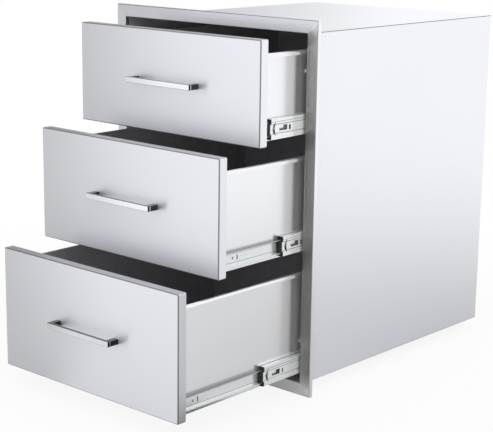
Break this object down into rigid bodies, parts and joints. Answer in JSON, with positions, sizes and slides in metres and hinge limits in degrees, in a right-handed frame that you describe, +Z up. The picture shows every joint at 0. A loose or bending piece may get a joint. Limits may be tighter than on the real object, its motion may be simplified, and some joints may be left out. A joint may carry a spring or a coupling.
{
  "type": "outdoor kitchen drawer unit",
  "caption": "Built-in outdoor kitchen cabinet with a mitred flange and stacked pull-out drawers on full-extension ball slides, each with a square bar handle.",
  "frame": {"origin": "middle of the flange's bottom edge, on the plane of its back face, which seats on the island's front", "axes": "+X to the right as seen from the front, +Y back into the island, +Z up"},
  "size_m": [0.504, 0.928, 0.686],
  "materials": {
    "stainless_steel": "brushed",
    "polished_steel": "polished",
    "zinc_steel": "zinc plated",
    "black_plastic": "matte"
  },
  "bodies": {
    "cabinet": {"frame_top_rail": "stainless_steel", "frame_bottom_rail": "stainless_steel", "frame_left_stile": "stainless_steel", "frame_right_stile": "stainless_steel", "housing_left_side": "stainless_steel", "housing_right_side": "stainless_steel", "housing_top": "stainless_steel", "housing_bottom": "stainless_steel", "housing_back": "stainless_steel", "slide_outer_1": "zinc_steel", "slide_outer_2": "zinc_steel", "slide_outer_3": "zinc_steel"},
    "upper_drawer": {"front_pan_1": "stainless_steel", "backing_plate_1": "stainless_steel", "drawer_side_left_1": "stainless_steel", "drawer_side_right_1": "stainless_steel", "drawer_bottom_1": "stainless_steel", "drawer_back_1": "stainless_steel", "handle_1": "polished_steel", "drawer_screws_1": "zinc_steel", "slide_inner_left_1": "zinc_steel", "slide_inner_right_1": "zinc_steel"},
    "upper_middle_members": {"slide_middle_left_1": "zinc_steel", "slide_middle_right_1": "zinc_steel", "slide_bumpers_1": "black_plastic"},
    "upper_outer_cages": {"cage_outer_1": "zinc_steel"},
    "upper_inner_cages": {"cage_inner_1": "zinc_steel"},
    "centre_drawer": {"front_pan_2": "stainless_steel", "backing_plate_2": "stainless_steel", "drawer_side_left_2": "stainless_steel", "drawer_side_right_2": "stainless_steel", "drawer_bottom_2": "stainless_steel", "drawer_back_2": "stainless_steel", "handle_2": "polished_steel", "drawer_screws_2": "zinc_steel", "slide_inner_left_2": "zinc_steel", "slide_inner_right_2": "zinc_steel"},
    "centre_middle_members": {"slide_middle_left_2": "zinc_steel", "slide_middle_right_2": "zinc_steel", "slide_bumpers_2": "black_plastic"},
    "centre_outer_cages": {"cage_outer_2": "zinc_steel"},
    "centre_inner_cages": {"cage_inner_2": "zinc_steel"},
    "lower_drawer": {"front_pan_3": "stainless_steel", "backing_plate_3": "stainless_steel", "drawer_side_left_3": "stainless_steel", "drawer_side_right_3": "stainless_steel", "drawer_bottom_3": "stainless_steel", "drawer_back_3": "stainless_steel", "handle_3": "polished_steel", "drawer_screws_3": "zinc_steel", "slide_inner_left_3": "zinc_steel", "slide_inner_right_3": "zinc_steel"},
    "lower_middle_members": {"slide_middle_left_3": "zinc_steel", "slide_middle_right_3": "zinc_steel", "slide_bumpers_3": "black_plastic"},
    "lower_outer_cages": {"cage_outer_3": "zinc_steel"},
    "lower_inner_cages": {"cage_inner_3": "zinc_steel"}
  },
  "joints": [
    {"name": "upper_middle_slide", "type": "slide", "parent": "cabinet", "child": "upper_middle_members", "axis": [0, -1, 0], "range_m": [-0.118, 0.157]},
    {"name": "upper_drawer_slide", "type": "slide", "parent": "upper_middle_members", "child": "upper_drawer", "axis": [0, -1, 0], "range_m": [0, 0.275]},
    {"name": "upper_outer_cage_roll", "type": "slide", "parent": "cabinet", "child": "upper_outer_cages", "axis": [0, -1, 0], "range_m": [-0.0592, 0.0787]},
    {"name": "upper_inner_cage_roll", "type": "slide", "parent": "upper_middle_members", "child": "upper_inner_cages", "axis": [0, -1, 0], "range_m": [-0.0002, 0.1377]},
    {"name": "centre_middle_slide", "type": "slide", "parent": "cabinet", "child": "centre_middle_members", "axis": [0, -1, 0], "range_m": [-0.0805, 0.1945]},
    {"name": "centre_drawer_slide", "type": "slide", "parent": "centre_middle_members", "child": "centre_drawer", "axis": [0, -1, 0], "range_m": [-0.1375, 0.1375]},
    {"name": "centre_outer_cage_roll", "type": "slide", "parent": "cabinet", "child": "centre_outer_cages", "axis": [0, -1, 0], "range_m": [-0.0404, 0.0975]},
    {"name": "centre_inner_cage_roll", "type": "slide", "parent": "centre_middle_members", "child": "centre_inner_cages", "axis": [0, -1, 0], "range_m": [-0.069, 0.069]},
    {"name": "lower_middle_slide", "type": "slide", "parent": "cabinet", "child": "lower_middle_members", "axis": [0, -1, 0], "range_m": [-0.1255, 0.1495]},
    {"name": "lower_drawer_slide", "type": "slide", "parent": "lower_middle_members", "child": "lower_drawer", "axis": [0, -1, 0], "range_m": [-0.1885, 0.0865]},
    {"name": "lower_outer_cage_roll", "type": "slide", "parent": "cabinet", "child": "lower_outer_cages", "axis": [0, -1, 0], "range_m": [-0.063, 0.075]},
    {"name": "lower_inner_cage_roll", "type": "slide", "parent": "lower_middle_members", "child": "lower_inner_cages", "axis": [0, -1, 0], "range_m": [-0.0945, 0.0435]}
  ],
  "couplings": [
    {"joint": "upper_outer_cage_roll", "follows": "upper_middle_slide", "ratio": 0.5},
    {"joint": "upper_inner_cage_roll", "follows": "upper_drawer_slide", "ratio": 0.5},
    {"joint": "centre_outer_cage_roll", "follows": "centre_middle_slide", "ratio": 0.5},
    {"joint": "centre_inner_cage_roll", "follows": "centre_drawer_slide", "ratio": 0.5},
    {"joint": "lower_outer_cage_roll", "follows": "lower_middle_slide", "ratio": 0.5},
    {"joint": "lower_inner_cage_roll", "follows": "lower_drawer_slide", "ratio": 0.5}
  ]
}
